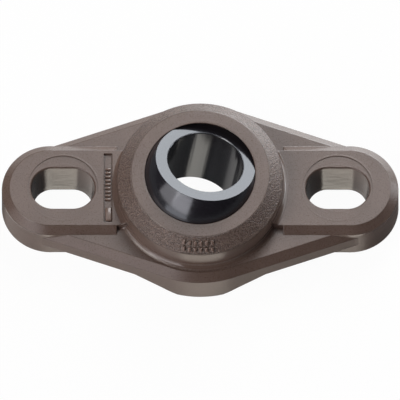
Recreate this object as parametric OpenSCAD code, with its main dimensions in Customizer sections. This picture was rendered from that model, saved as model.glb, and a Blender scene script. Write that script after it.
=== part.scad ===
// Two-bolt flange bearing: a moulded flange housing that holds a tilting spherical ball.
// The origin is the centre of the mounting face. X runs through the two fixing slots and Z out of the boss.

/* [Flange plate] */
// Overall length of the flange, end to end
flange_length = 52; // [48:0.5:60]
// Overall width of the flange, across its round middle
flange_width = 25.6; // [25:0.2:30]
// Height of the plate's top face above the mounting face
plate_height = 5.5; // [4.8:0.1:6]
// Radius at which each straight flank ends, near the tip of the flange
flank_end_radius = 6.65; // [6:0.05:7]
// How far the flank's end radius sits in from the centre of the pad's round end
flank_set_back = 1; // [0.6:0.1:2]
// Size of the 45 degree bevel round the plate's top edge
plate_bevel = 1.05; // [0.6:0.05:1.2]

/* [Bolting pads] */
// Height of the bolting pads above the mounting face
pad_height = 6.4; // [6.2:0.1:7.5]
// Width of each bolting pad, which is also the width of the flange's round ends
pad_width = 12.8; // [12:0.1:13]
// How far the bevel round each pad's top edge reaches in from the side
pad_bevel_width = 1; // [0.5:0.05:1.2]
// How far the bevel round each pad's top edge reaches down
pad_bevel_height = 0.95; // [0.4:0.05:1.2]
// Distance from the middle of the flange to the place where each pad's bevel begins
pad_bevel_start = 10.9; // [9:0.1:12.4]

/* [Boss] */
// Height of the boss face above the mounting face
boss_height = 11; // [10.8:0.1:11.2]
// Diameter of the boss wall
boss_diameter = 21.8; // [21:0.1:22.5]
// Diameter of the flat ring on top of the boss
boss_face_diameter = 18.1; // [17:0.1:19]
// Height of the tapered band below the boss face
taper_height = 1.9; // [1:0.1:2.4]
// Radius of the fillet at the foot of the boss
boss_fillet = 0.85; // [0.3:0.05:1]

/* [Fixing slots] */
// Distance between the centres of the two slots
slot_spacing = 36; // [35.5:0.1:37]
// How far a screw can shift along its slot
slot_travel = 2.6; // [2:0.1:3]
// Width of each slot at the top, where its walls have leaned out by their draft
slot_width = 5.8; // [5.6:0.1:6]
// Width of the straight lower part of each slot, which guides the screw
slot_lower_width = 5.2; // [5:0.1:5.4]
// Height of that straight part, from the mounting face up
slot_guide_height = 1.2; // [0.8:0.1:2]
// Chamfer round the slot's upper rim
slot_chamfer = 0.15; // [0.05:0.05:0.2]
// Diameter of the washer seat round each slot
seat_diameter = 9.2; // [9.1:0.1:10]
// Depth of the washer seat
seat_depth = 0.1; // [0.05:0.05:0.3]

/* [Marking recess] */
// Length of the sunk strip across one pad
strip_length = 9.8; // [6:0.1:10]
// Width of the sunk strip
strip_width = 1.05; // [0.6:0.05:1.2]
// Depth of the sunk strip
strip_depth = 0.3; // [0.1:0.05:0.4]
// Distance from the boss wall to the near edge of the strip
strip_gap = 0.65; // [0.4:0.05:0.9]

/* [Underside] */
// Height of the hollows under the plate, between the pads and the flanks
hollow_height = 2.2; // [1:0.1:3]
// Distance from the middle of the flange to the start of each hollow
hollow_start = 3; // [2:0.1:5]
// Length over which each hollow rises to its full height
hollow_ramp = 5.6; // [3:0.1:7]
// Diameter of the flared mouth in the mounting face, which leaves room for a tilted shaft
mouth_diameter = 18.4; // [16:0.1:20]

/* [Ball] */
// Diameter of the shaft bore
bore_diameter = 10; // [8:0.1:10.5]
// Outer diameter of the ball
ball_diameter = 16; // [15.4:0.1:16.4]
// Width of the ball between its two flat faces
ball_width = 9; // [8:0.1:9.6]
// Chamfer at each end of the bore
bore_chamfer = 0.12; // [0.05:0.01:0.3]
// Height of the ball's centre above the mounting face
ball_centre_height = 7.5; // [7.3:0.05:7.7]
// Running clearance between the ball and its socket, on the radius
socket_clearance = 0.05; // [0.02:0.01:0.08]

/* [Pose of the ball] */
// How far the bore leans from square to the flange
ball_lean = 19; // [0:1:25]
// Which way the bore leans, counted from +X towards +Y
lean_direction = 61; // [0:1:360]

/* [Hidden] */
// How far a cutter runs past the face that it cuts
over = 1;
// How far joined forms reach into each other
bite = 0.2;
// How far a straight side lies inside the round end that it runs into, and a fillet inside its walls
run_in = 0.02;
// How far the boss fillet stops short of each pad's edge
fillet_stop = 0.15;

middle_radius = flange_width / 2;
pad_radius = pad_width / 2;
pad_centre = flange_length / 2 - pad_radius;
flank_centre = pad_centre - flank_set_back;
// Lean of the flank from the X axis: the flank touches the middle circle and the end circle
flank_angle = asin((middle_radius - flank_end_radius) / flank_centre);
bevel_base = plate_height - plate_bevel;
pad_top_half_width = pad_radius - pad_bevel_width;

boss_radius = boss_diameter / 2;
face_radius = boss_face_diameter / 2;
taper_base = boss_height - taper_height;

slot_radius = slot_width / 2;
slot_lower_radius = slot_lower_width / 2;
seat_height = pad_height - seat_depth;

ball_radius = ball_diameter / 2;
bore_radius = bore_diameter / 2;
socket_radius = ball_radius + socket_clearance;
// The socket's band is as deep below the ball's centre as above it
socket_reach = boss_height - ball_centre_height;
socket_floor = ball_centre_height - socket_reach;
socket_edge_radius = sqrt(pow(socket_radius, 2) - pow(socket_reach, 2));

$fn = 96;

// Half the section of a plate or pad, from its middle out to its side, with a bevel at the top edge.
// It runs past its top and bottom, where a level slab cuts it off.
module half_section(half_width, height, bevel_width, bevel_height) {
    slope = bevel_width / bevel_height;
    polygon([
        [0, -over],
        [half_width, -over],
        [half_width, height - bevel_height],
        [half_width - bevel_width - slope * over, height + over],
        [0, height + over]
    ]);
}

// Keeps what lies between the mounting face and this height
module level_slab(height) {
    intersection() {
        union() children();
        translate([-flange_length, -flange_width, 0])
            cube([2 * flange_length, 2 * flange_width, height]);
    }
}

// Half of the plate's section at a round part or a flank of this half width
module plate_section(half_width) {
    half_section(half_width, plate_height, plate_bevel, plate_bevel);
}

// Straight flank on the +X +Y quarter of the plate, which touches the middle circle and the end circle
module flank() {
    rotate([0, 0, -flank_angle])
        rotate([90, 0, 90])
            linear_extrude(height = flank_centre * cos(flank_angle))
                plate_section(middle_radius - run_in);
}

// Plate with its bevelled top edge: a round middle, two round ends and four straight flanks
module plate() {
    level_slab(plate_height) {
        rotate_extrude()
            plate_section(middle_radius);
        for (side = [-1, 1])
            translate([side * flank_centre, 0, 0])
                rotate_extrude()
                    plate_section(flank_end_radius);
        for (turn_x = [0, 1], turn_y = [0, 1])
            mirror([turn_x, 0, 0])
                mirror([0, turn_y, 0])
                    flank();
    }
}

// Half of the section of a bolting pad of this half width
module pad_section(half_width) {
    half_section(half_width, pad_height, pad_bevel_width, pad_bevel_height);
}

// The two bolting pads, joined through the boss by a plain band without a bevel
module pads() {
    band_half_width = pad_top_half_width - 2 * run_in;
    level_slab(pad_height) {
        for (side = [-1, 1])
            translate([side * pad_centre, 0, 0])
                rotate_extrude()
                    pad_section(pad_radius);
        for (turn_x = [0, 1], turn_y = [0, 1])
            mirror([turn_x, 0, 0])
                mirror([0, turn_y, 0])
                    translate([pad_bevel_start, 0, 0])
                        rotate([90, 0, 90])
                            linear_extrude(height = pad_centre - pad_bevel_start)
                                pad_section(pad_radius - run_in);
        translate([-pad_bevel_start - bite, -band_half_width, -over])
            cube([2 * (pad_bevel_start + bite), 2 * band_half_width, pad_height + 2 * over]);
    }
}

// Section of a hollow fillet that blends a wall of this radius into a floor at height zero
module fillet_section(wall_radius, fillet) {
    difference() {
        translate([wall_radius - bite, -bite])
            square([fillet + bite, fillet + bite]);
        translate([wall_radius + fillet - run_in, fillet - run_in])
            circle(r = fillet);
    }
}

// Fillet ring at the foot of the boss, standing on a floor at this height
module boss_foot(floor_height) {
    translate([0, 0, floor_height])
        rotate_extrude()
            fillet_section(boss_radius, boss_fillet);
}

// Boss with its tapered band, and its fillet on the plate and on the pads
module boss() {
    rotate_extrude()
        polygon([
            [0, bevel_base],
            [boss_radius, bevel_base],
            [boss_radius, taper_base],
            [face_radius, boss_height],
            [0, boss_height]
        ]);
    boss_foot(plate_height);
    intersection() {
        boss_foot(pad_height);
        translate([0, 0, pad_height])
            cube([flange_length, 2 * (pad_top_half_width - fillet_stop), 2 * boss_fillet], center = true);
    }
}

// Shallow hollows under the plate, between the straight band and the flanks, with a ramp at their inner ends
module hollows() {
    slope = hollow_ramp / hollow_height;
    for (turn_x = [0, 1], turn_y = [0, 1])
        mirror([turn_x, 0, 0])
            mirror([0, turn_y, 0])
                translate([0, flange_width, 0])
                    rotate([90, 0, 0])
                        linear_extrude(height = flange_width - pad_radius + over)
                            polygon([
                                [hollow_start - slope * over, -over],
                                [hollow_start + hollow_ramp, hollow_height],
                                [flange_length, hollow_height],
                                [flange_length, -over]
                            ]);
}

// Upright prism with round ends, the form of a slot of this radius
module slot_prism(radius, height) {
    linear_extrude(height = height) {
        square([slot_travel, 2 * radius], center = true);
        for (side = [-1, 1])
            translate([side * slot_travel / 2, 0])
                circle(r = radius);
    }
}

// Slot whose walls lean out evenly, from a lower radius to an upper one
module leaning_slot(lower_radius, upper_radius, height) {
    for (side = [-1, 1])
        translate([side * slot_travel / 2, 0, 0])
            cylinder(h = height, r1 = lower_radius, r2 = upper_radius);
    translate([-slot_travel / 2, 0, 0])
        rotate([90, 0, 90])
            linear_extrude(height = slot_travel)
                polygon([
                    [-lower_radius, 0],
                    [lower_radius, 0],
                    [upper_radius, height],
                    [-upper_radius, height]
                ]);
}

// Everything that is cut for one fixing screw
module fixing_slot() {
    rim_height = seat_height - slot_chamfer;
    translate([0, 0, -over])
        slot_prism(slot_lower_radius, slot_guide_height + over + bite);
    translate([0, 0, slot_guide_height])
        leaning_slot(slot_lower_radius, slot_radius, rim_height - slot_guide_height);
    translate([0, 0, rim_height])
        leaning_slot(slot_radius, slot_radius + slot_chamfer, slot_chamfer);
    translate([0, 0, seat_height])
        cylinder(h = seat_depth + over, d = seat_diameter);
}

// Ball socket, open above and below, with a flared mouth in the mounting face
module socket() {
    intersection() {
        translate([0, 0, ball_centre_height])
            sphere(r = socket_radius);
        translate([0, 0, socket_floor - bite])
            cylinder(h = 2 * socket_reach + bite + over, r = ball_diameter);
    }
    translate([0, 0, socket_floor])
        mirror([0, 0, 1])
            cylinder(
                h = socket_floor + over,
                r1 = socket_edge_radius,
                r2 = mouth_at(-over)
            );
}

// Radius of the flared mouth at a height above the mounting face
function mouth_at(height) =
    mouth_diameter / 2
    - (mouth_diameter / 2 - socket_edge_radius) * height / socket_floor;

// Sunk strip across the pad on the -X side
module marking_strip() {
    translate([-boss_radius - strip_gap - strip_width, -strip_length / 2, pad_height - strip_depth])
        cube([strip_width, strip_length, strip_depth + over]);
}

// The moulded flange housing, one piece
module housing() {
    color([0.43, 0.39, 0.37])
        difference() {
            union() {
                difference() {
                    plate();
                    hollows();
                }
                pads();
                boss();
            }
            for (side = [-1, 1])
                translate([side * slot_spacing / 2, 0, 0])
                    fixing_slot();
            socket();
            marking_strip();
        }
}

// The ball, a sphere cut flat on two sides with a chamfered bore, leaning in its socket
module spherical_ball() {
    half_width = ball_width / 2;
    color([0.2, 0.2, 0.21])
        translate([0, 0, ball_centre_height])
            rotate(a = ball_lean, v = [-sin(lean_direction), cos(lean_direction), 0])
                rotate_extrude()
                    difference() {
                        intersection() {
                            circle(r = ball_radius);
                            translate([bore_radius, -half_width])
                                square([ball_radius, ball_width]);
                        }
                        for (side = [-1, 1])
                            polygon([
                                [bore_radius - bite, side * (half_width + bite)],
                                [bore_radius + bore_chamfer + bite, side * (half_width + bite)],
                                [bore_radius - bite, side * (half_width - bore_chamfer - bite)]
                            ]);
                    }
}

housing();
spherical_ball();
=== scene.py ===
"""Looks of a moulded two-bolt flange bearing: finishes, small raised marks, camera and studio."""

import math

import bmesh
import bpy
from bpy.props import FloatProperty, FloatVectorProperty, IntProperty, PointerProperty
from mathutils import Matrix, Vector


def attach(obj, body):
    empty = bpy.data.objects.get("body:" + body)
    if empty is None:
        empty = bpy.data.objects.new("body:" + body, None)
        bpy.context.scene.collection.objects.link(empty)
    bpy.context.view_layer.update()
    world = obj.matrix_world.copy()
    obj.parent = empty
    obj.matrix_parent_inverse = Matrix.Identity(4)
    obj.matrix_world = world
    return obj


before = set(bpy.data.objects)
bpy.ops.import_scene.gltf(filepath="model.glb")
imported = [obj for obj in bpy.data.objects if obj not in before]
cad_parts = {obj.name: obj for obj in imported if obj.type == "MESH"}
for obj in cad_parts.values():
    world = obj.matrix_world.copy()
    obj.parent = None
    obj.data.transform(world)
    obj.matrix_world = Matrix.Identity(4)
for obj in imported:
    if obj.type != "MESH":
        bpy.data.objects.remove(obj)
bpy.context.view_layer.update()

bl_info = {
    "name": "Flange bearing finish",
    "version": (1, 0, 0),
    "blender": (4, 5, 0),
    "location": "3D View > Sidebar > Bearing",
    "description": "Finishes a moulded two-bolt flange bearing and lights it in a plain studio",
    "category": "Object",
}

MM = 0.001

# Heights and radii of the boss
BOSS_TOP = 11.0 * MM
TAPER_BASE = 9.1 * MM
WALL_BASE = 6.7 * MM
FACE_RADIUS = 9.05 * MM
TAPER_RADIUS = 10.9 * MM

# Fillet at the foot of the boss
FOOT_INNER_RADIUS = 11.0 * MM
FOOT_RADIUS = 12.6 * MM
FOOT_HEIGHT = 5.6 * MM
FOOT_TOP = 8.1 * MM

# Top of the pads, and the edge of the plate's outer wall, where its bevel begins
PAD_TOP = 6.4 * MM
RIM_HEIGHT = 5.0 * MM

# Fixing slots: their centres along X, their greatest half sizes and the reach of their flat walls
SLOT_CENTRE = 18.0 * MM
SLOT_HALF_LENGTH = 4.5 * MM
SLOT_HALF_WIDTH = 3.1 * MM
SLOT_FLAT_HALF = 2.0 * MM
SLOT_FLAT_BLEND = 0.3 * MM

# Washer seats round the slots, and how far their zone reaches past them
SEAT_RADIUS = 4.6 * MM
SEAT_REACH = 0.2 * MM

# Ball: its centre, the lean of its bore, and the zones round its upper flat end and its bore
BALL_CENTRE = Vector((0, 0, 7.5 * MM))
BALL_LEAN = math.radians(19)
LEAN_DIRECTION = math.radians(61)
FLAT_END_LOW = 4.47 * MM
FLAT_END_HIGH = 4.6 * MM
BORE_REACH = 5.08 * MM
BALL_BLEND = 0.02 * MM

# How softly the zones of the housing meet
ZONE_BLEND = 0.06 * MM

# Upward parts of the normals that tell walls from slopes, and slopes from flats
WALL_SLOPE = 0.2
WALL_SLOPE_BLEND = 0.1
FLAT_SLOPE = 0.992
FLAT_SLOPE_BLEND = 0.006

# An edge begins where its rounded normal agrees less than this with the face's own
EDGE_AGREEMENT = 0.985
EDGE_BLEND = 0.02

# Range in which most of a noise lies, and the narrower ones for coarse and for scraped noise
NOISE_RANGE = {"From Min": 0.3, "From Max": 0.7}
SPARK_RANGE = {"From Min": 0.35, "From Max": 0.65}
SCRAPE_RANGE = {"From Min": 0.35, "From Max": 0.6}

# Depths of the housing's reliefs
SKIN_DEPTH = 0.012 * MM
FOOT_DEPTH = 0.002 * MM
SPARK_DEPTH = 0.16 * MM
FACE_RING_DEPTH = 0.012 * MM
SEAT_RING_DEPTH = 0.01 * MM

# The boss wall leans in by a few degrees, as it left the mould: 0.1 mm for each mm of height
WALL_LEAN = 0.1

# Radii of the housing's edges
EDGE_ROUNDING = 0.16 * MM
SEAT_ROUNDING = 0.02 * MM

# Flow clouds in the housing's tone, and the sliding marks along the slots' flat walls, which are
# too fine to show at their real width and are drawn coarser
CLOUD_WIDTH = 4.0 * MM
SCRAPE_WIDTH = 0.22 * MM
SCRAPE_STRETCH = (0.1, 1.0, 1.0)

# Tones of the housing, as shares of its colour
CLOUD_TONE = {"To Min": 0.93, "To Max": 1.07}
SPECK_TONE = {"To Min": 0.86, "To Max": 1.14}
# The tapered band's glitter is painted into its colour as bright and dark specks: painted glints
# and painted shade over its real relief
SPARK_PAINTED_GLINTS = {"To Min": -0.5, "To Max": 0.45}
# Edges and creases are painted darker, as painted shade along them
EDGE_PAINTED_SHADE = 0.8

# Roughness and specular level of the housing's zones
SKIN_ROUGHNESS = {"To Min": 0.26, "To Max": 0.34}
WALL_ROUGHNESS = 0.18
RIM_ROUGHNESS = 0.38
SLOT_ROUGHNESS = 0.12
FOOT_ROUGHNESS = 0.12
EDGE_ROUGHNESS = 0.16
SKIN_SHINE = 0.5
TAPER_SHINE = 0.66
RIM_SHINE = 0.4
FOOT_SHINE = 0.75
EDGE_SHINE = 0.8
SLOT_SHINE = {"To Min": 0.45, "To Max": 0.95}
POLYMER_IOR = 1.5

# Raised marks, which are finer grained than the moulding round them
MARK_MATERIAL = "glass_filled_polymer_engraved_mould_painted_highlight"
# The marks' colour is made paler than the housing's, as a painted highlight
MARK_PAINTED_HIGHLIGHT = {"To Min": 1.2, "To Max": 1.5}
MARK_DEPTH = 0.004 * MM
MARK_ROUGHNESS = 0.15

# Ball: reliefs, edges and shine. The drawing marks along its bore are too fine to show at their
# real width and are drawn coarser.
BALL_RING_DEPTH = 0.0012 * MM
BALL_RING_SHARE = 0.6
LATITUDE_DEPTH = 0.001 * MM
BALL_SKIN_DEPTH = 0.0012 * MM
DRAWN_WIDTH = 0.9 * MM
DRAWN_STRETCH = (1.0, 1.0, 0.06)
DRAWN_DEPTH = 0.04 * MM
BALL_ROUNDING = 0.06 * MM
BALL_ROUGHNESS = {"To Min": 0.13, "To Max": 0.2}
BALL_IOR = 1.56
FLAT_END_SHINE = 0.42

# Rays that each rounded edge takes
BEVEL_SAMPLES = 6

# Sunk strip across the pad on the -X side, with a row of ribs and a plain field at its near end.
# Their middles lie just above its floor, which is 6.1 mm high.
STRIP_MIDDLE_X = -12.075 * MM
STRIP_MARK_Z = 6.16 * MM
RIB_SIZE = Vector((0.74, 0.26, 0.4)) * MM
RIB_ROW_MIDDLE_Y = 0.55 * MM
FIELD_SIZE = Vector((0.84, 1.9, 0.4)) * MM
FIELD_X = STRIP_MIDDLE_X + 0.05 * MM
FIELD_Y = -3.75 * MM

# Ticks on the tapered band: how far down the slope each row lies, and how far it is turned
TICK_SIZE = Vector((0.4, 0.62, 0.62)) * MM
TICK_ROWS = (0.36, 0.7)
TICK_TURN = math.radians(-1.4)

# Rounding of the marks' edges, as a share of their smallest size
MARK_ROUNDING = 0.3
MARK_SEGMENTS = 3

# The photograph's view: a parallel projection, 400 pixels wide at 7.63 pixels to a millimetre
PHOTO_WIDTH = 400
PIXELS_PER_MM = 7.63
VIEW_AZIMUTH = math.radians(0.27)
VIEW_ELEVATION = math.radians(65.9)
VIEW_ROLL = math.radians(-0.21)
VIEW_AIM = Vector((0, 0, 5.24 * MM))
# Where the point aimed at lies in the picture, counted from its centre to the right and up
AIM_RIGHT = 0.14
AIM_UP = 8.54
CAMERA_DISTANCE = 0.3
CLIP_START = 0.01
CLIP_END = 10

# The table lies a little below the mounting face, so that the two don't share a plane
FLOOR_GAP = 0.05 * MM
FLOOR_WIDTH = 3.0
# How white the camera sees the table, and how much of a reflection looks through its glass
TABLE_WHITENESS = 0.96
TABLE_CLEARNESS = 0.9

# Soft boxes: azimuth and elevation in degrees, width and height in metres, the studio strength
# that each takes with its share of it, and its colour
SOFTBOX_DISTANCE = 0.5
SOFTBOXES = (
    ("key_softbox", 75, 38, 0.19, 0.42, "key_strength", 1.0, (0.98, 0.99, 1.0)),
    ("low_key_softbox", 58, 8, 0.75, 0.13, "key_strength", 0.7, (0.95, 0.98, 1.0)),
    ("right_softbox", 19, 2, 0.16, 0.08, "key_strength", 0.5, (0.9, 0.96, 1.0)),
    ("back_softbox", 90, 70, 0.28, 0.16, "key_strength", 0.192, (0.99, 0.99, 1.0)),
    ("fill_softbox", -150, 50, 0.2, 0.24, "fill_strength", 1.74, (1.0, 0.95, 0.9)),
    ("low_fill_softbox", -125, 20, 0.28, 0.32, "fill_strength", 0.72, (1.0, 0.95, 0.97)),
    ("low_side_softbox", -155, 20, 0.27, 0.32, "fill_strength", 0.42, (1.0, 0.94, 0.94)),
)

# Glowing panels that only reflections see, most of them under the table: azimuth and elevation
# in degrees, width and height in metres, strength and colour
PANEL_DISTANCE = 0.4
PANELS = (
    ("front_panel", -88, -52, 0.21, 0.4, 1.8, (1.0, 0.93, 0.82)),
    ("left_panel", -152, -60, 0.38, 0.34, 0.6, (1.0, 0.95, 0.9)),
    ("low_fill_panel", -129, -11, 0.26, 0.17, 1.4, (0.97, 0.96, 1.0)),
    ("right_panel", 28, 30, 0.2, 0.34, 2.0, (0.93, 0.97, 1.0)),
    ("back_right_panel", 70, -20, 0.38, 0.24, 2.5, (0.94, 0.98, 1.0)),
    ("back_left_panel", 113, -20, 0.28, 0.24, 0.8, (1.0, 1.0, 1.0)),
)


def linear(hex_colour):
    """Linear RGB of an sRGB colour written as six hex digits."""
    channels = [int(hex_colour[i : i + 2], 16) / 255 for i in (0, 2, 4)]
    return [c / 12.92 if c <= 0.04045 else ((c + 0.055) / 1.055) ** 2.4 for c in channels]


class BearingFinish(bpy.types.PropertyGroup):
    """Colours and sizes of the two mouldings' surfaces."""

    # The real grain and turned rings are finer than a pixel of the photograph, which is 0.13 mm
    # wide, so they are drawn as coarse as they need to be to show

    housing_colour: FloatVectorProperty(
        name="Housing colour",
        description="Colour of the glass-filled housing polymer",
        subtype="COLOR",
        default=linear("61514A"),
        min=0,
        max=1,
    )
    ball_colour: FloatVectorProperty(
        name="Ball colour",
        description="Colour of the solid-lubricated ball polymer",
        subtype="COLOR",
        default=linear("201F24"),
        min=0,
        max=1,
    )
    skin_grain: FloatProperty(
        name="Skin grain",
        description="Width of the fine grain on moulded faces",
        unit="LENGTH",
        default=0.14 * MM,
        min=0.05 * MM,
        max=0.5 * MM,
    )
    taper_grain: FloatProperty(
        name="Taper grain",
        description="Width of the coarse spark-eroded grain on the tapered band",
        unit="LENGTH",
        default=0.17 * MM,
        min=0.05 * MM,
        max=0.6 * MM,
    )
    turning_pitch: FloatProperty(
        name="Turning pitch",
        description="Distance between the turned rings on the boss, the seats and the ball",
        unit="LENGTH",
        default=0.22 * MM,
        min=0.05 * MM,
        max=0.6 * MM,
    )


class BearingMarks(bpy.types.PropertyGroup):
    """Plain raised marks that the mould leaves."""

    rib_count: IntProperty(
        name="Ribs",
        description="Number of plain ribs in the sunk strip",
        default=9,
        min=1,
        max=16,
    )
    rib_pitch: FloatProperty(
        name="Rib pitch",
        description="Distance from one rib to the next along the strip",
        unit="LENGTH",
        default=0.54 * MM,
        min=0.3 * MM,
        max=1.0 * MM,
    )
    tick_columns: IntProperty(
        name="Tick columns",
        description="Number of ticks in each row on the tapered band",
        default=6,
        min=1,
        max=12,
    )
    tick_pitch: FloatProperty(
        name="Tick pitch",
        description="Distance from one tick to the next round the band",
        unit="LENGTH",
        default=0.74 * MM,
        min=0.3 * MM,
        max=1.2 * MM,
    )


class BearingStudio(bpy.types.PropertyGroup):
    """Strength of the studio's lights, where 1 is as bright as white paper."""

    key_strength: FloatProperty(
        name="Key strength",
        description="Brightness of the key soft box behind the bearing",
        default=8.7,
        min=0,
        max=20,
    )
    fill_strength: FloatProperty(
        name="Fill strength",
        description="Brightness that the soft boxes in front on the left take their shares of",
        default=3.4,
        min=0,
        max=20,
    )
    surround: FloatProperty(
        name="Surround",
        description="Brightness of the dim room round the studio",
        default=0.01,
        min=0,
        max=1,
    )


def add_node(tree, kind, inputs=None, **settings):
    """Adds a node with its settings, and sets or links each of its inputs by name or number."""
    node = tree.nodes.new(kind)
    for name, value in settings.items():
        setattr(node, name, value)
    for key, value in (inputs or {}).items():
        if isinstance(value, bpy.types.NodeSocket):
            tree.links.new(value, node.inputs[key])
        else:
            node.inputs[key].default_value = value
    return node


def new_material(name):
    """An empty node material and its tree."""
    material = bpy.data.materials.new(name)
    material.use_nodes = True
    material.node_tree.nodes.clear()
    return material, material.node_tree


def overlap(tree, *masks):
    """Masks or patterns multiplied together, so that they show only where all of them do."""
    shared = masks[0]
    for mask in masks[1:]:
        both = add_node(tree, "ShaderNodeMath", {0: shared, 1: mask}, operation="MULTIPLY")
        shared = both.outputs["Value"]
    return shared


def zone_mask(tree, value, low, high, blend=ZONE_BLEND):
    """A mask that is 1 where value lies between low and high, with soft edges as wide as blend."""
    sides = []
    for border, below, above in ((low, 0.0, 1.0), (high, 1.0, 0.0)):
        side = add_node(
            tree,
            "ShaderNodeMapRange",
            {
                "Value": value,
                "From Min": border - blend / 2,
                "From Max": border + blend / 2,
                "To Min": below,
                "To Max": above,
            },
            interpolation_type="SMOOTHSTEP",
        )
        sides.append(side.outputs["Result"])
    return overlap(tree, *sides)


def by_zone(tree, plain, *zones):
    """A value that each zone, a mask with a value of its own, takes over from the plain one."""
    for mask, value in zones:
        mixed = add_node(tree, "ShaderNodeMix", {"Factor": mask, 2: plain, 3: value})
        plain = mixed.outputs["Result"]
    return plain


def total_relief(tree, *reliefs):
    """Height of several reliefs that lie on one surface, each a pattern with its depth."""
    height = 0.0
    for pattern, depth in reliefs:
        raised = add_node(
            tree,
            "ShaderNodeMath",
            {0: pattern, 1: depth, 2: height},
            operation="MULTIPLY_ADD",
        )
        height = raised.outputs["Value"]
    return height


def axis_distance(tree, x, y):
    """How far a point with the coordinates x and y lies from an upright axis."""
    point = add_node(tree, "ShaderNodeCombineXYZ", {"X": x, "Y": y}).outputs["Vector"]
    length = add_node(tree, "ShaderNodeVectorMath", {0: point}, operation="LENGTH")
    return length.outputs["Value"]


def turned_rings(tree, radius, pitch):
    """Uneven rings that a turning tool leaves about pitch apart, from 0 to 1."""
    turns = add_node(tree, "ShaderNodeMath", {0: radius, 1: 1 / pitch}, operation="MULTIPLY")
    uneven = add_node(
        tree,
        "ShaderNodeTexNoise",
        {"W": turns.outputs["Value"], "Scale": 1.0, "Detail": 1.5},
        noise_dimensions="1D",
    )
    return uneven.outputs["Fac"]


def drawn_lines(tree, place, width, stretch):
    """Fine lines about as wide as width, drawn out along the axis on which stretch is small."""
    drawn = add_node(tree, "ShaderNodeMapping", {"Vector": place, "Scale": stretch})
    lines = add_node(
        tree,
        "ShaderNodeTexNoise",
        {"Vector": drawn.outputs["Vector"], "Scale": 1 / width, "Detail": 1.0},
    )
    return lines.outputs["Fac"]


def housing_zones(tree, place, true_normal):
    """Masks of the housing's zones, the height, and the radii round the boss and the slots."""
    axes = add_node(tree, "ShaderNodeSeparateXYZ", {0: place})
    x, y, height = (axes.outputs[name] for name in "XYZ")
    facing_up = add_node(tree, "ShaderNodeSeparateXYZ", {0: true_normal}).outputs["Z"]
    radius = axis_distance(tree, x, y)
    across = add_node(tree, "ShaderNodeMath", {0: x}, operation="ABSOLUTE").outputs["Value"]
    from_slot = add_node(
        tree,
        "ShaderNodeMath",
        {0: across, 1: SLOT_CENTRE},
        operation="SUBTRACT",
    ).outputs["Value"]
    seat_radius = axis_distance(tree, from_slot, y)

    taper = overlap(
        tree,
        zone_mask(tree, height, TAPER_BASE + ZONE_BLEND, BOSS_TOP - ZONE_BLEND),
        zone_mask(tree, radius, FACE_RADIUS - ZONE_BLEND, TAPER_RADIUS + ZONE_BLEND),
    )
    half_blend = ZONE_BLEND / 2
    face = zone_mask(tree, height, BOSS_TOP - half_blend, BOSS_TOP + ZONE_BLEND, half_blend)

    # Upright walls slid along the polished mould, and the slots' flat walls most of all
    upright = zone_mask(tree, facing_up, -WALL_SLOPE, WALL_SLOPE, WALL_SLOPE_BLEND)
    in_slot = overlap(
        tree,
        zone_mask(tree, y, -SLOT_HALF_WIDTH, SLOT_HALF_WIDTH),
        zone_mask(tree, from_slot, -SLOT_HALF_LENGTH, SLOT_HALF_LENGTH),
    )
    slot_flat = overlap(
        tree,
        upright,
        in_slot,
        zone_mask(tree, from_slot, -SLOT_FLAT_HALF, SLOT_FLAT_HALF, SLOT_FLAT_BLEND),
    )
    off_slot = add_node(tree, "ShaderNodeMath", {0: 1.0, 1: in_slot}, operation="SUBTRACT")
    rim = overlap(
        tree,
        upright,
        zone_mask(tree, height, -PAD_TOP, RIM_HEIGHT),
        off_slot.outputs["Value"],
    )

    # The fillet at the foot of the boss is polished in the mould, but the flats round it aren't
    foot = overlap(
        tree,
        zone_mask(tree, radius, FOOT_INNER_RADIUS, FOOT_RADIUS),
        zone_mask(tree, height, FOOT_HEIGHT, FOOT_TOP),
        zone_mask(tree, facing_up, -1.0, FLAT_SLOPE, FLAT_SLOPE_BLEND),
    )
    seat = overlap(
        tree,
        zone_mask(tree, seat_radius, 0.0, SEAT_RADIUS + SEAT_REACH),
        zone_mask(tree, height, PAD_TOP - SEAT_REACH, PAD_TOP + SEAT_REACH),
    )
    return {
        "height": height,
        "radius": radius,
        "seat_radius": seat_radius,
        "taper": taper,
        "face": face,
        "upright": upright,
        "slot_flat": slot_flat,
        "rim": rim,
        "foot": foot,
        "seat": seat,
    }


def tone_and_painted_light(tree, clouds, skin, spark, taper, edges):
    """How light the housing's colour is: clouds and fibre specks, with painted glints and painted
    shade on the spark marks and painted shade along the edges and creases.
    """
    cloud_tone = add_node(
        tree,
        "ShaderNodeMapRange",
        {"Value": clouds, **NOISE_RANGE, **CLOUD_TONE},
    ).outputs["Result"]
    speck_tone = add_node(
        tree,
        "ShaderNodeMapRange",
        {"Value": skin, **NOISE_RANGE, **SPECK_TONE},
    ).outputs["Result"]
    # Bright and dark specks on the tapered band, as painted glints and painted shade
    spark_glints_and_shade = add_node(
        tree,
        "ShaderNodeMapRange",
        {"Value": spark, **SPARK_RANGE, **SPARK_PAINTED_GLINTS},
    ).outputs["Result"]
    # Clouds and fibre specks, with the painted glints and shade of the tapered band
    tone = add_node(
        tree,
        "ShaderNodeMath",
        {0: spark_glints_and_shade, 1: taper, 2: overlap(tree, cloud_tone, speck_tone)},
        operation="MULTIPLY_ADD",
    ).outputs["Value"]
    # Edges and creases are darkened here, as painted shade
    return overlap(tree, tone, by_zone(tree, 1.0, (edges, EDGE_PAINTED_SHADE)))


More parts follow.
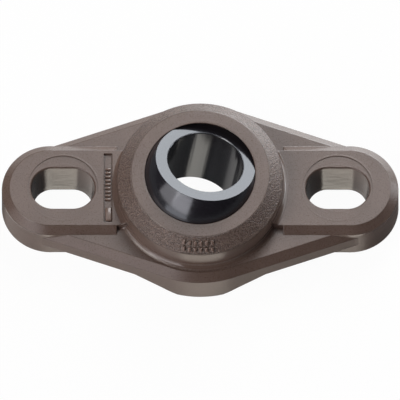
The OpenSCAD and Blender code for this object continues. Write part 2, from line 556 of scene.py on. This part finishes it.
def glass_filled_polymer(finish):
    """Injection-moulded, glass-filled polymer."""
    # The glass fibres give it a satin, taupe skin with faint clouds and specks. The tapered band
    # is spark-eroded and has a coarse relief, and its glitter is painted into its colour as bright
    # and dark specks, which are painted glints and painted shade. The edges are painted darker as
    # painted shade, and the boss face and the seats show turned rings.
    material, tree = new_material("glass_filled_polymer_moulded")
    place = add_node(tree, "ShaderNodeTexCoord").outputs["Object"]
    true_normal = add_node(tree, "ShaderNodeNewGeometry").outputs["True Normal"]
    zone = housing_zones(tree, place, true_normal)
    taper, upright, rim = zone["taper"], zone["upright"], zone["rim"]
    slot_flat, foot, seat = zone["slot_flat"], zone["foot"], zone["seat"]

    skin, spark, clouds = (
        add_node(
            tree,
            "ShaderNodeTexNoise",
            {"Vector": place, "Scale": 1 / width, "Detail": detail},
        ).outputs["Fac"]
        for width, detail in (
            (finish.skin_grain, 2.0),
            (finish.taper_grain, 1.0),
            (CLOUD_WIDTH, 2.0),
        )
    )
    turned = turned_rings(tree, zone["radius"], finish.turning_pitch)
    spot_faced = turned_rings(tree, zone["seat_radius"], finish.turning_pitch)
    scraped = drawn_lines(tree, place, SCRAPE_WIDTH, SCRAPE_STRETCH)

    # The leaning boss wall mirrors the table beyond the plate
    leaning = add_node(
        tree,
        "ShaderNodeMapRange",
        {"Value": zone["height"], "From Min": WALL_BASE, "From Max": TAPER_BASE},
    ).outputs["Result"]
    relief = total_relief(
        tree,
        (skin, by_zone(tree, SKIN_DEPTH, (foot, FOOT_DEPTH))),
        (overlap(tree, spark, taper), SPARK_DEPTH),
        (overlap(tree, turned, zone["face"]), FACE_RING_DEPTH),
        (overlap(tree, spot_faced, seat), SEAT_RING_DEPTH),
        (leaning, (WALL_BASE - TAPER_BASE) * WALL_LEAN),
    )
    rounded = add_node(
        tree,
        "ShaderNodeBevel",
        {"Radius": by_zone(tree, EDGE_ROUNDING, (seat, SEAT_ROUNDING))},
        samples=BEVEL_SAMPLES,
    ).outputs["Normal"]
    bump = add_node(
        tree,
        "ShaderNodeBump",
        {"Height": relief, "Distance": 1.0, "Normal": rounded},
    )

    # Rounded edges and creases, where the rounded normal turns away from the face's own, are
    # rubbed smooth. Their colour is also darkened there, as painted shade along them.
    agreement = add_node(
        tree,
        "ShaderNodeVectorMath",
        {0: rounded, 1: true_normal},
        operation="DOT_PRODUCT",
    ).outputs["Value"]
    edges = zone_mask(tree, agreement, -1.0, EDGE_AGREEMENT, EDGE_BLEND)

    colour = add_node(
        tree,
        "ShaderNodeVectorMath",
        {
            0: finish.housing_colour[:],
            "Scale": tone_and_painted_light(tree, clouds, skin, spark, taper, edges),
        },
        operation="SCALE",
    )
    skin_roughness = add_node(
        tree,
        "ShaderNodeMapRange",
        {"Value": skin, **NOISE_RANGE, **SKIN_ROUGHNESS},
    ).outputs["Result"]
    roughness = by_zone(
        tree,
        skin_roughness,
        (upright, WALL_ROUGHNESS),
        (rim, RIM_ROUGHNESS),
        (slot_flat, SLOT_ROUGHNESS),
        (foot, FOOT_ROUGHNESS),
        (edges, EDGE_ROUGHNESS),
    )
    slot_shine = add_node(
        tree,
        "ShaderNodeMapRange",
        {"Value": scraped, **SCRAPE_RANGE, **SLOT_SHINE},
    ).outputs["Result"]
    shine = by_zone(
        tree,
        SKIN_SHINE,
        (taper, TAPER_SHINE),
        (rim, RIM_SHINE),
        (foot, FOOT_SHINE),
        (edges, EDGE_SHINE),
        (slot_flat, slot_shine),
    )
    shader = add_node(
        tree,
        "ShaderNodeBsdfPrincipled",
        {
            "Base Color": colour.outputs["Vector"],
            "Roughness": roughness,
            "IOR": POLYMER_IOR,
            "Specular IOR Level": shine,
            "Normal": bump.outputs["Normal"],
        },
    )
    add_node(tree, "ShaderNodeOutputMaterial", {"Surface": shader.outputs["BSDF"]})
    return material


def engraved_mould_polymer(finish):
    """The housing's glass-filled polymer, moulded in marks that were engraved by a cutter."""
    # The cut metal is smoother than the mould round it, so the marks come out glossier. Their
    # colour is made paler, as a painted highlight on them.
    material, tree = new_material(MARK_MATERIAL)
    place = add_node(tree, "ShaderNodeTexCoord").outputs["Object"]
    skin = add_node(
        tree,
        "ShaderNodeTexNoise",
        {"Vector": place, "Scale": 1 / finish.skin_grain, "Detail": 2.0},
    ).outputs["Fac"]
    # Paler colour on the marks, as a painted highlight
    tone = add_node(
        tree,
        "ShaderNodeMapRange",
        {"Value": skin, **NOISE_RANGE, **MARK_PAINTED_HIGHLIGHT},
    ).outputs["Result"]
    colour = add_node(
        tree,
        "ShaderNodeVectorMath",
        {0: finish.housing_colour[:], "Scale": tone},
        operation="SCALE",
    )
    relief = total_relief(tree, (skin, MARK_DEPTH))
    bump = add_node(tree, "ShaderNodeBump", {"Height": relief, "Distance": 1.0})
    shader = add_node(
        tree,
        "ShaderNodeBsdfPrincipled",
        {
            "Base Color": colour.outputs["Vector"],
            "Roughness": MARK_ROUGHNESS,
            "IOR": POLYMER_IOR,
            "Normal": bump.outputs["Normal"],
        },
    )
    add_node(tree, "ShaderNodeOutputMaterial", {"Surface": shader.outputs["BSDF"]})
    return material


def solid_lubricated_polymer(finish):
    """Solid-lubricated bearing polymer, moulded and fine-turned."""
    # The turned sphere and bore are black and glossy, with faint rings round the bore's axis. The
    # upper flat end is cut, so it is a little duller.
    material, tree = new_material("solid_lubricated_polymer_turned")
    place = add_node(tree, "ShaderNodeTexCoord").outputs["Object"]
    centred = add_node(
        tree,
        "ShaderNodeVectorMath",
        {0: place, 1: BALL_CENTRE},
        operation="SUBTRACT",
    ).outputs["Vector"]
    lean_axis = Vector((-math.sin(LEAN_DIRECTION), math.cos(LEAN_DIRECTION), 0))
    upright = add_node(
        tree,
        "ShaderNodeVectorRotate",
        {"Vector": centred, "Axis": lean_axis, "Angle": -BALL_LEAN},
        rotation_type="AXIS_ANGLE",
    ).outputs["Vector"]
    axes = add_node(tree, "ShaderNodeSeparateXYZ", {0: upright})
    x, y, height = (axes.outputs[name] for name in "XYZ")
    radius = axis_distance(tree, x, y)
    flat_end = zone_mask(tree, height, FLAT_END_LOW, FLAT_END_HIGH, BALL_BLEND)
    in_bore = zone_mask(tree, radius, 0.0, BORE_REACH, BALL_BLEND)

    turned = turned_rings(tree, radius, finish.turning_pitch * BALL_RING_SHARE)
    latitude = turned_rings(tree, height, finish.turning_pitch)
    drawn = drawn_lines(tree, upright, DRAWN_WIDTH, DRAWN_STRETCH)
    skin = add_node(
        tree,
        "ShaderNodeTexNoise",
        {"Vector": place, "Scale": 1 / finish.skin_grain, "Detail": 2.0},
    ).outputs["Fac"]
    relief = total_relief(
        tree,
        (turned, BALL_RING_DEPTH),
        (latitude, LATITUDE_DEPTH),
        (skin, BALL_SKIN_DEPTH),
        (overlap(tree, drawn, in_bore), DRAWN_DEPTH),
    )
    rounded = add_node(tree, "ShaderNodeBevel", {"Radius": BALL_ROUNDING}, samples=BEVEL_SAMPLES)
    bump = add_node(
        tree,
        "ShaderNodeBump",
        {"Height": relief, "Distance": 1.0, "Normal": rounded.outputs["Normal"]},
    )
    roughness = add_node(
        tree,
        "ShaderNodeMapRange",
        {"Value": turned, **NOISE_RANGE, **BALL_ROUGHNESS},
    )
    shader = add_node(
        tree,
        "ShaderNodeBsdfPrincipled",
        {
            "Base Color": (*finish.ball_colour[:], 1.0),
            "Roughness": roughness.outputs["Result"],
            "IOR": BALL_IOR,
            "Specular IOR Level": by_zone(tree, 1.0, (flat_end, FLAT_END_SHINE)),
            "Specular Tint": (*linear("F2F8FF"), 1.0),
            "Normal": bump.outputs["Normal"],
        },
    )
    add_node(tree, "ShaderNodeOutputMaterial", {"Surface": shader.outputs["BSDF"]})
    return material


def glass_table():
    """White glass, cast and polished, as a photographer's table."""
    # It looks white and still shows the object's shadow. Reflections in the bearing mostly look
    # through the glass, at the panels under it.
    material, tree = new_material("studio_table_glass")
    paper = add_node(tree, "ShaderNodeBsdfDiffuse", {"Color": (*linear("E6E6E6"), 1.0)})
    glow = add_node(tree, "ShaderNodeEmission", {"Color": (1, 1, 1, 1), "Strength": 1.0})
    path = add_node(tree, "ShaderNodeLightPath")
    glossy = path.outputs["Is Glossy Ray"]
    seen = add_node(
        tree,
        "ShaderNodeMath",
        {0: path.outputs["Is Camera Ray"], 1: path.outputs["Is Transmission Ray"]},
        operation="ADD",
    ).outputs["Value"]
    white_share = add_node(
        tree,
        "ShaderNodeMath",
        {0: seen, 1: TABLE_WHITENESS, 2: glossy},
        operation="MULTIPLY_ADD",
    )
    face = add_node(
        tree,
        "ShaderNodeMixShader",
        {
            0: white_share.outputs["Value"],
            1: paper.outputs["BSDF"],
            2: glow.outputs["Emission"],
        },
    )
    clear = add_node(tree, "ShaderNodeBsdfTransparent")
    clear_share = overlap(tree, glossy, TABLE_CLEARNESS)
    glass = add_node(
        tree,
        "ShaderNodeMixShader",
        {0: clear_share, 1: face.outputs["Shader"], 2: clear.outputs["BSDF"]},
    )
    add_node(tree, "ShaderNodeOutputMaterial", {"Surface": glass.outputs["Shader"]})
    return material


def finish_node(name, material):
    """Gives every material slot of a CAD node one material."""
    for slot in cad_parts[name].material_slots:
        slot.material = material


def link_mesh(name, mesh_data, material):
    """Makes an object in the scene from a finished bmesh, and frees the bmesh."""
    mesh = bpy.data.meshes.new(name)
    mesh_data.to_mesh(mesh)
    mesh_data.free()
    mesh.materials.append(material)
    made = bpy.data.objects.new(name, mesh)
    bpy.context.scene.collection.objects.link(made)
    return made


def add_piece(name, mesh_data, body, material):
    """Makes an object from a finished bmesh and lets it ride on a body."""
    bmesh.ops.recalc_face_normals(mesh_data, faces=mesh_data.faces)
    piece = link_mesh(name, mesh_data, material)
    piece.data.shade_smooth()
    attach(piece, body)


def add_rounded_bar(mesh_data, size, place):
    """Adds a small bar with rounded edges to a bmesh and puts it in its place."""
    made = bmesh.ops.create_cube(mesh_data, size=1.0)
    bmesh.ops.scale(mesh_data, vec=size, verts=made["verts"])
    edges = list({edge for vert in made["verts"] for edge in vert.link_edges})
    rounded = bmesh.ops.bevel(
        mesh_data,
        geom=edges,
        offset=min(size) * MARK_ROUNDING,
        segments=MARK_SEGMENTS,
        profile=0.5,
        affect="EDGES",
        material=-1,
    )
    verts = {vert for face in rounded["faces"] for vert in face.verts}
    verts.update(vert for vert in made["verts"] if vert.is_valid)
    bmesh.ops.transform(mesh_data, matrix=place, verts=list(verts))


def flat_sheet(width, height):
    """A bmesh of one flat rectangle round the origin."""
    sheet = bmesh.new()
    bmesh.ops.create_grid(sheet, x_segments=1, y_segments=1, size=0.5)
    bmesh.ops.scale(sheet, vec=(width, height, 1.0), verts=sheet.verts)
    return sheet


class BEARING_OT_housing_finish(bpy.types.Operator):
    """Give the housing its moulded finish, and make the finish of its raised marks"""

    bl_idname = "bearing.housing_finish"
    bl_label = "Finish the housing"

    def execute(self, context):
        finish_node("housing", glass_filled_polymer(context.scene.bearing_finish))
        engraved_mould_polymer(context.scene.bearing_finish)
        return {"FINISHED"}


class BEARING_OT_ball_finish(bpy.types.Operator):
    """Give the ball its turned finish"""

    bl_idname = "bearing.ball_finish"
    bl_label = "Finish the ball"

    def execute(self, context):
        finish_node("spherical_ball", solid_lubricated_polymer(context.scene.bearing_finish))
        return {"FINISHED"}


class BEARING_OT_strip_ribs(bpy.types.Operator):
    """Raise a row of plain ribs and a plain field in the sunk strip on one pad"""

    bl_idname = "bearing.strip_ribs"
    bl_label = "Add the strip's ribs"

    def execute(self, context):
        marks = context.scene.bearing_marks
        first = RIB_ROW_MIDDLE_Y - (marks.rib_count - 1) / 2 * marks.rib_pitch
        ribs = bmesh.new()
        for number in range(marks.rib_count):
            middle = Vector((STRIP_MIDDLE_X, first + number * marks.rib_pitch, STRIP_MARK_Z))
            add_rounded_bar(ribs, RIB_SIZE, Matrix.Translation(middle))
        field = Matrix.Translation((FIELD_X, FIELD_Y, STRIP_MARK_Z))
        add_rounded_bar(ribs, FIELD_SIZE, field)
        material = bpy.data.materials[MARK_MATERIAL]
        add_piece("strip_ribs", ribs, "flange", material)
        return {"FINISHED"}


class BEARING_OT_taper_ticks(bpy.types.Operator):
    """Raise two rows of plain ticks on the tapered band of the boss"""

    bl_idname = "bearing.taper_ticks"
    bl_label = "Add the band's ticks"

    def execute(self, context):
        marks = context.scene.bearing_marks
        band_height = BOSS_TOP - TAPER_BASE
        band_width = TAPER_RADIUS - FACE_RADIUS
        slope = math.atan2(band_height, band_width)
        ticks = bmesh.new()
        for share in TICK_ROWS:
            radius = FACE_RADIUS + band_width * share
            height = BOSS_TOP - band_height * share
            for number in range(marks.tick_columns):
                along = (number - (marks.tick_columns - 1) / 2) * marks.tick_pitch
                place = (
                    Matrix.Rotation(along / radius + TICK_TURN, 4, "Z")
                    @ Matrix.Translation((0, -radius, height))
                    @ Matrix.Rotation(slope, 4, "X")
                )
                add_rounded_bar(ticks, TICK_SIZE, place)
        material = bpy.data.materials[MARK_MATERIAL]
        add_piece("taper_ticks", ticks, "flange", material)
        return {"FINISHED"}


def facing_bearing(azimuth, elevation, distance):
    """Place of something that faces the bearing from a direction given in degrees.
    Azimuth is counted from +X towards +Y."""
    azimuth, elevation = math.radians(azimuth), math.radians(elevation)
    level = math.cos(elevation)
    towards = Vector((math.cos(azimuth) * level, math.sin(azimuth) * level, math.sin(elevation)))
    turn = towards.to_track_quat("Z", "Y").to_matrix().to_4x4()
    return Matrix.Translation(VIEW_AIM + towards * distance) @ turn


def add_softbox(name, place, width, height, strength, colour):
    """Adds a soft box that is as bright as white paper at a strength of 1."""
    light = bpy.data.lights.new(name, "AREA")
    light.shape = "RECTANGLE"
    light.size = width
    light.size_y = height
    light.color = colour
    light.energy = strength * math.pi * width * height
    lamp = bpy.data.objects.new(name, light)
    lamp.matrix_world = place
    lamp.visible_camera = False
    bpy.context.scene.collection.objects.link(lamp)


def add_panel(name, place, width, height, strength, colour):
    """Adds a glowing panel that only reflections see."""
    material, tree = new_material(name + "_glow")
    glow = add_node(tree, "ShaderNodeEmission", {"Color": (*colour, 1.0), "Strength": strength})
    add_node(tree, "ShaderNodeOutputMaterial", {"Surface": glow.outputs["Emission"]})
    material.cycles.emission_sampling = "NONE"
    sheet = flat_sheet(width, height)
    bmesh.ops.transform(sheet, matrix=place, verts=sheet.verts)
    panel = link_mesh(name, sheet, material)
    panel.visible_camera = False
    panel.visible_diffuse = False
    panel.visible_shadow = False


def add_floor():
    """Adds the glass table just below the mounting face."""
    sheet = flat_sheet(FLOOR_WIDTH, FLOOR_WIDTH)
    bmesh.ops.translate(sheet, vec=(0, 0, -FLOOR_GAP), verts=sheet.verts)
    floor = link_mesh("studio_floor", sheet, glass_table())


def add_surround(scene, brightness):
    """Puts the dim room round the studio."""
    world = bpy.data.worlds.new("studio_surround")
    world.use_nodes = True
    tree = world.node_tree
    tree.nodes.clear()
    surround = add_node(
        tree,
        "ShaderNodeBackground",
        {"Color": (1, 1, 1, 1), "Strength": brightness},
    )
    add_node(tree, "ShaderNodeOutputWorld", {"Surface": surround.outputs["Background"]})
    scene.world = world


def add_camera(scene):
    """Adds the camera that was fitted to the photograph."""
    camera = bpy.data.cameras.new("photo_camera")
    camera.type = "ORTHO"
    camera.ortho_scale = PHOTO_WIDTH / PIXELS_PER_MM * MM
    camera.clip_start = CLIP_START
    camera.clip_end = CLIP_END
    viewer = bpy.data.objects.new("photo_camera", camera)
    turn = (
        Matrix.Rotation(VIEW_AZIMUTH, 4, "Z")
        @ Matrix.Rotation(math.pi / 2 - VIEW_ELEVATION, 4, "X")
        @ Matrix.Rotation(VIEW_ROLL, 4, "Z")
    )
    right = -AIM_RIGHT / PIXELS_PER_MM * MM
    up = -AIM_UP / PIXELS_PER_MM * MM
    offset = Matrix.Translation((right, up, CAMERA_DISTANCE))
    viewer.matrix_world = Matrix.Translation(VIEW_AIM) @ turn @ offset
    scene.collection.objects.link(viewer)
    scene.camera = viewer


class BEARING_OT_stage(bpy.types.Operator):
    """Set up the floor, the soft boxes, the panels, the surround and the camera"""

    bl_idname = "bearing.stage"
    bl_label = "Set up the stage"

    def execute(self, context):
        scene = context.scene
        studio = scene.bearing_studio
        add_floor()
        for name, azimuth, elevation, width, height, source, share, colour in SOFTBOXES:
            place = facing_bearing(azimuth, elevation, SOFTBOX_DISTANCE)
            strength = getattr(studio, source) * share
            add_softbox(name, place, width, height, strength, colour)
        for name, azimuth, elevation, width, height, strength, colour in PANELS:
            place = facing_bearing(azimuth, elevation, PANEL_DISTANCE)
            add_panel(name, place, width, height, strength, colour)
        add_surround(scene, studio.surround)
        add_camera(scene)
        scene.view_settings.view_transform = "Standard"
        return {"FINISHED"}


class BEARING_PT_panel(bpy.types.Panel):
    """Sizes and colours of the bearing, with a button for each step"""

    bl_idname = "BEARING_PT_panel"
    bl_label = "Flange bearing"
    bl_space_type = "VIEW_3D"
    bl_region_type = "UI"
    bl_category = "Bearing"

    def draw(self, context):
        scene = context.scene
        for group in (scene.bearing_finish, scene.bearing_marks, scene.bearing_studio):
            box = self.layout.box()
            for name in group.__annotations__:
                box.prop(group, name)
        for operator in OPERATORS:
            self.layout.operator(operator.bl_idname)


OPERATORS = (
    BEARING_OT_housing_finish,
    BEARING_OT_ball_finish,
    BEARING_OT_strip_ribs,
    BEARING_OT_taper_ticks,
    BEARING_OT_stage,
)
GROUPS = (BearingFinish, BearingMarks, BearingStudio)


def register():
    """Registers the settings, the steps and the panel."""
    for item in (*GROUPS, *OPERATORS, BEARING_PT_panel):
        bpy.utils.register_class(item)
    bpy.types.Scene.bearing_finish = PointerProperty(type=BearingFinish)
    bpy.types.Scene.bearing_marks = PointerProperty(type=BearingMarks)
    bpy.types.Scene.bearing_studio = PointerProperty(type=BearingStudio)


def unregister():
    """Takes the settings, the steps and the panel away again."""
    del bpy.types.Scene.bearing_studio
    del bpy.types.Scene.bearing_marks
    del bpy.types.Scene.bearing_finish
    for item in reversed((*GROUPS, *OPERATORS, BEARING_PT_panel)):
        bpy.utils.unregister_class(item)


def main():
    """Finishes the bearing and sets up the stage."""
    register()
    bpy.ops.bearing.housing_finish()
    bpy.ops.bearing.ball_finish()
    bpy.ops.bearing.strip_ribs()
    bpy.ops.bearing.taper_ticks()
    bpy.ops.bearing.stage()


if __name__ == "__main__":
    main()
